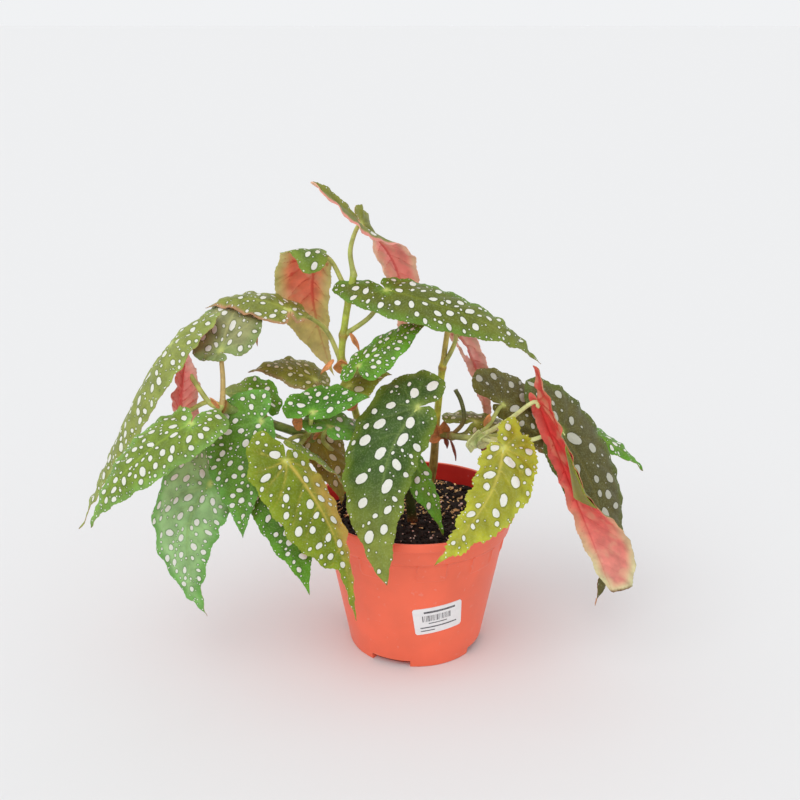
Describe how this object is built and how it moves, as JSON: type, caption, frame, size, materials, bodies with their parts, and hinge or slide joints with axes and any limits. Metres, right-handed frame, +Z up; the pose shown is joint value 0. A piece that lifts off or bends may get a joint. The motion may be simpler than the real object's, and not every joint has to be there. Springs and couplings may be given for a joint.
{
  "type": "potted polka dot begonia",
  "caption": "Potted cane begonia with white-spotted wing-shaped leaves on jointed canes, in a tapered orange plastic nursery pot with a price label.",
  "frame": {"origin": "centre of the flat underside of the pot, on the surface it stands on", "axes": "+Z up along the pot's axis; the front, with the price label, faces -Y; +X is the viewer's right"},
  "size_m": [0.3929, 0.1624, 0.3316],
  "materials": {
    "pot": "satin",
    "soil": "matte, dark bark and peat potting mix",
    "label": "satin",
    "cane": "satin",
    "red_cane": "satin",
    "dry": "matte",
    "leaf_green": "satin, off-white spots above and coral red below",
    "leaf_olive": "satin, grey-white spots above and coral red below",
    "leaf_coral": "satin, coral red underside that faces out"
  },
  "bodies": {
    "root": {"pot": "pot", "soil": "soil", "label": "label", "main_cane": "cane", "second_cane": "cane", "left_cane": "cane", "front_cane": "cane", "side_shoot": "cane", "red_cane": "red_cane", "dry_petiole": "dry", "leaf_top": "leaf_coral", "leaf_upper_right": "leaf_olive", "leaf_olive_right": "leaf_olive", "leaf_dark_right": "leaf_olive", "leaf_hanging_right": "leaf_coral", "leaf_far_right": "leaf_green", "leaf_front_right": "leaf_green", "leaf_front_centre": "leaf_green", "leaf_small_front": "leaf_green", "leaf_front_left": "leaf_green", "leaf_narrow_left": "leaf_green", "leaf_low_left": "leaf_green", "leaf_mid_left": "leaf_green", "leaf_lower_left": "leaf_green", "leaf_side_left": "leaf_green", "leaf_arching_left": "leaf_olive", "leaf_high_left": "leaf_olive", "leaf_back_left": "leaf_green", "leaf_hanging_left": "leaf_coral", "leaf_young_coral": "leaf_coral", "leaf_olive_left": "leaf_olive", "leaf_inner_left": "leaf_green", "leaf_centre_upper": "leaf_green", "leaf_centre_lower": "leaf_green", "leaf_shadow_centre": "leaf_olive", "leaf_small_spotted": "leaf_green", "leaf_cream_spotted": "leaf_green", "leaf_back_right": "leaf_coral", "leaf_low_back_right": "leaf_olive", "stipule_main_high": "dry", "stipule_main_low": "dry", "stipule_centre": "dry", "stipule_left": "dry"}
  },
  "joints": []
}
